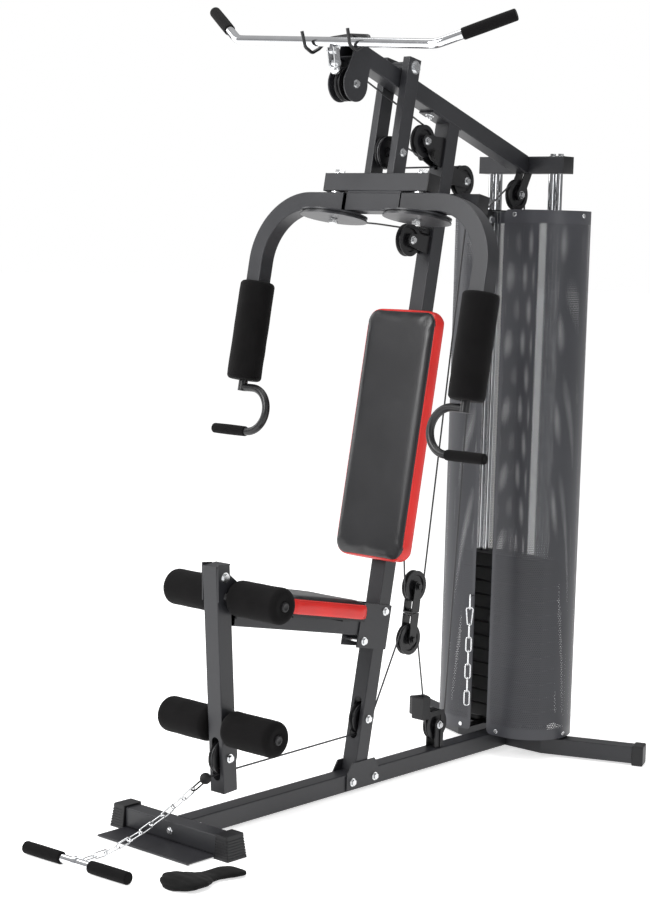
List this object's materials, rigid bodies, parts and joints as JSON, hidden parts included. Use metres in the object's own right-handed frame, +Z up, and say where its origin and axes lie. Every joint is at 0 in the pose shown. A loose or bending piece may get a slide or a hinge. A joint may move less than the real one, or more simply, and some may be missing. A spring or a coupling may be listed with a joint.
{
  "type": "multi station home gym",
  "caption": "Home gym with a leaning upright, a press and butterfly arm, a lat bar, a padded seat, a leg lever and a covered, selectable weight stack.",
  "frame": {"origin": "centre of the footprint on the floor", "axes": "+Z up, -Y the way the user faces, +Y towards the weight stack, +X to the user's left hand side"},
  "size_m": [1.065, 1.8832, 2.1624],
  "materials": {
    "frame_paint": "satin charcoal powder coat",
    "black_steel": "satin black powder coat",
    "cover_sheet": "satin dark grey powder coat on perforated sheet",
    "chrome": "bright chrome plating",
    "zinc_steel": "zinc plated steel",
    "tread_plate": "textured charcoal paint on steel sheet",
    "stack_iron": "black painted cast iron",
    "black_plastic": "moulded black plastic",
    "pulley_plastic": "black nylon",
    "black_rubber": "black rubber",
    "foam": "closed cell black foam",
    "upholstery": "black vinyl upholstery with red sides",
    "cable_sheath": "black nylon coated steel cable",
    "webbing": "padded black nylon"
  },
  "bodies": {
    "frame": {"front_stabilizer": "frame_paint", "end_caps": "black_plastic", "foot_plate": "tread_plate", "main_base": "frame_paint", "rear_stabilizer": "frame_paint", "upright_column": "frame_paint", "upper_beam": "frame_paint", "bar_hooks": "black_steel", "guide_rods": "chrome", "rubber_bumpers": "black_rubber", "cover_left": "cover_sheet", "cover_right": "cover_sheet", "cover_brackets": "black_steel", "pulley_brackets": "black_steel", "seat_frame": "frame_paint", "seat_pad": "upholstery", "back_pad": "upholstery", "pad_brackets": "black_steel", "upper_rollers": "foam", "frame_bolts": "zinc_steel", "pulley_bolts": "zinc_steel", "main_cable": "cable_sheath", "low_cable": "cable_sheath", "butterfly_cables": "cable_sheath", "spare_chain": "zinc_steel", "resting_plates": "stack_iron"},
    "press_frame": {"press_frame": "frame_paint", "press_hardware": "zinc_steel"},
    "right_arm": {"right_arm": "frame_paint", "right_handle": "black_steel", "right_grips": "foam"},
    "left_arm": {"left_arm": "frame_paint", "left_handle": "black_steel", "left_grips": "foam"},
    "leg_lever": {"leg_lever": "frame_paint", "lower_rollers": "foam"},
    "floating_block": {"floating_block": "black_steel"},
    "lifted_stack": {"lifted_plates": "stack_iron", "selector_stem": "zinc_steel"},
    "selector_pin": {"selector_pin": "black_plastic"},
    "lat_bar": {"lat_bar": "chrome", "lat_grips": "black_rubber", "lat_link": "zinc_steel"},
    "row_bar": {"row_bar": "chrome", "row_grips": "black_rubber", "row_chain": "zinc_steel"},
    "ankle_strap": {"ankle_strap": "webbing"},
    "front_pulley": {"front_pulley": "pulley_plastic"},
    "beam_pulley": {"beam_pulley": "pulley_plastic"},
    "press_pulley": {"press_pulley": "pulley_plastic"},
    "back_pulley": {"back_pulley": "pulley_plastic"},
    "rear_pulley": {"rear_pulley": "pulley_plastic"},
    "guide_pulley": {"guide_pulley": "pulley_plastic"},
    "breast_pulley": {"breast_pulley": "pulley_plastic"},
    "upright_low_pulley": {"upright_low_pulley": "pulley_plastic"},
    "base_pulley": {"base_pulley": "pulley_plastic"},
    "float_high_pulley": {"float_high_pulley": "pulley_plastic"},
    "float_low_pulley": {"float_low_pulley": "pulley_plastic"},
    "lever_pulley": {"lever_pulley": "pulley_plastic"}
  },
  "joints": [
    {"name": "press_swing", "type": "hinge", "parent": "frame", "child": "press_frame", "pos_m": [0, 0.2086, 1.98899], "axis": [-1, 0, 0], "range_deg": [0, 40], "deforming": ["main_cable", "butterfly_cables"]},
    {"name": "right_arm_fly", "type": "hinge", "parent": "press_frame", "child": "right_arm", "pos_m": [0.147, 0.12498, 1.62206], "axis": [0, -0.1805, -0.9836], "range_deg": [0, 85]},
    {"name": "left_arm_fly", "type": "hinge", "parent": "press_frame", "child": "left_arm", "pos_m": [-0.147, 0.12498, 1.62206], "axis": [0, 0.1805, 0.9836], "range_deg": [0, 85]},
    {"name": "leg_lever_swing", "type": "hinge", "parent": "frame", "child": "leg_lever", "pos_m": [0, -0.4646, 0.664], "axis": [-1, 0, 0], "range_deg": [0, 90], "deforming": ["low_cable"]},
    {"name": "weight_lift", "type": "slide", "parent": "frame", "child": "lifted_stack", "axis": [0, 0, 1], "range_m": [0, 0.7]},
    {"name": "block_travel", "type": "slide", "parent": "frame", "child": "floating_block", "axis": [0, 0.1805, 0.9836], "range_m": [0, 0.35]},
    {"name": "pin_pull", "type": "slide", "parent": "lifted_stack", "child": "selector_pin", "axis": [0, -1, 0], "range_m": [0, 0.07]},
    {"name": "lat_bar_lift", "type": "slide", "parent": "frame", "child": "lat_bar", "axis": [0, 0, 1], "range_m": [0, 0.1]},
    {"name": "row_bar_pull", "type": "slide", "parent": "frame", "child": "row_bar", "axis": [0, -1, 0], "range_m": [0, 0.5], "deforming": ["row_chain"]},
    {"name": "ankle_strap_lift", "type": "slide", "parent": "frame", "child": "ankle_strap", "axis": [0, 0, 1], "range_m": [0, 0.3]},
    {"name": "front_pulley_spin", "type": "hinge", "parent": "frame", "child": "front_pulley", "pos_m": [0, -0.0086, 1.93], "axis": [1, 0, 0], "continuous": true},
    {"name": "beam_pulley_spin", "type": "hinge", "parent": "frame", "child": "beam_pulley", "pos_m": [0, 0.31498, 1.79866], "axis": [1, 0, 0], "continuous": true},
    {"name": "press_pulley_spin", "type": "hinge", "parent": "press_frame", "child": "press_pulley", "pos_m": [0, 0.16439, 1.7592], "axis": [1, 0, 0], "continuous": true},
    {"name": "back_pulley_spin", "type": "hinge", "parent": "frame", "child": "back_pulley", "pos_m": [0, 0.49992, 1.69558], "axis": [1, 0, 0], "continuous": true},
    {"name": "rear_pulley_spin", "type": "hinge", "parent": "frame", "child": "rear_pulley", "pos_m": [0, 0.7659, 1.666], "axis": [1, 0, 0], "continuous": true},
    {"name": "guide_pulley_spin", "type": "hinge", "parent": "frame", "child": "guide_pulley", "pos_m": [0, 0.6224, 1.59], "axis": [1, 0, 0], "continuous": true},
    {"name": "breast_pulley_spin", "type": "hinge", "parent": "frame", "child": "breast_pulley", "pos_m": [0, 0.2648, 1.52522], "axis": [1, 0, 0], "continuous": true},
    {"name": "upright_low_pulley_spin", "type": "hinge", "parent": "frame", "child": "upright_low_pulley", "pos_m": [0, 0.12289, 0.19804], "axis": [1, 0, 0], "continuous": true},
    {"name": "base_pulley_spin", "type": "hinge", "parent": "frame", "child": "base_pulley", "pos_m": [0, 0.4574, 0.123], "axis": [1, 0, 0], "continuous": true},
    {"name": "float_high_pulley_spin", "type": "hinge", "parent": "floating_block", "child": "float_high_pulley", "pos_m": [0, 0.34, 0.545], "axis": [1, 0, 0], "continuous": true},
    {"name": "float_low_pulley_spin", "type": "hinge", "parent": "floating_block", "child": "float_low_pulley", "pos_m": [0, 0.3204, 0.394], "axis": [1, 0, 0], "continuous": true},
    {"name": "lever_pulley_spin", "type": "hinge", "parent": "leg_lever", "child": "lever_pulley", "pos_m": [0, -0.42801, 0.18841], "axis": [1, 0, 0], "continuous": true}
  ],
  "couplings": [
    {"joint": "block_travel", "follows": "weight_lift", "ratio": 0.5}
  ]
}
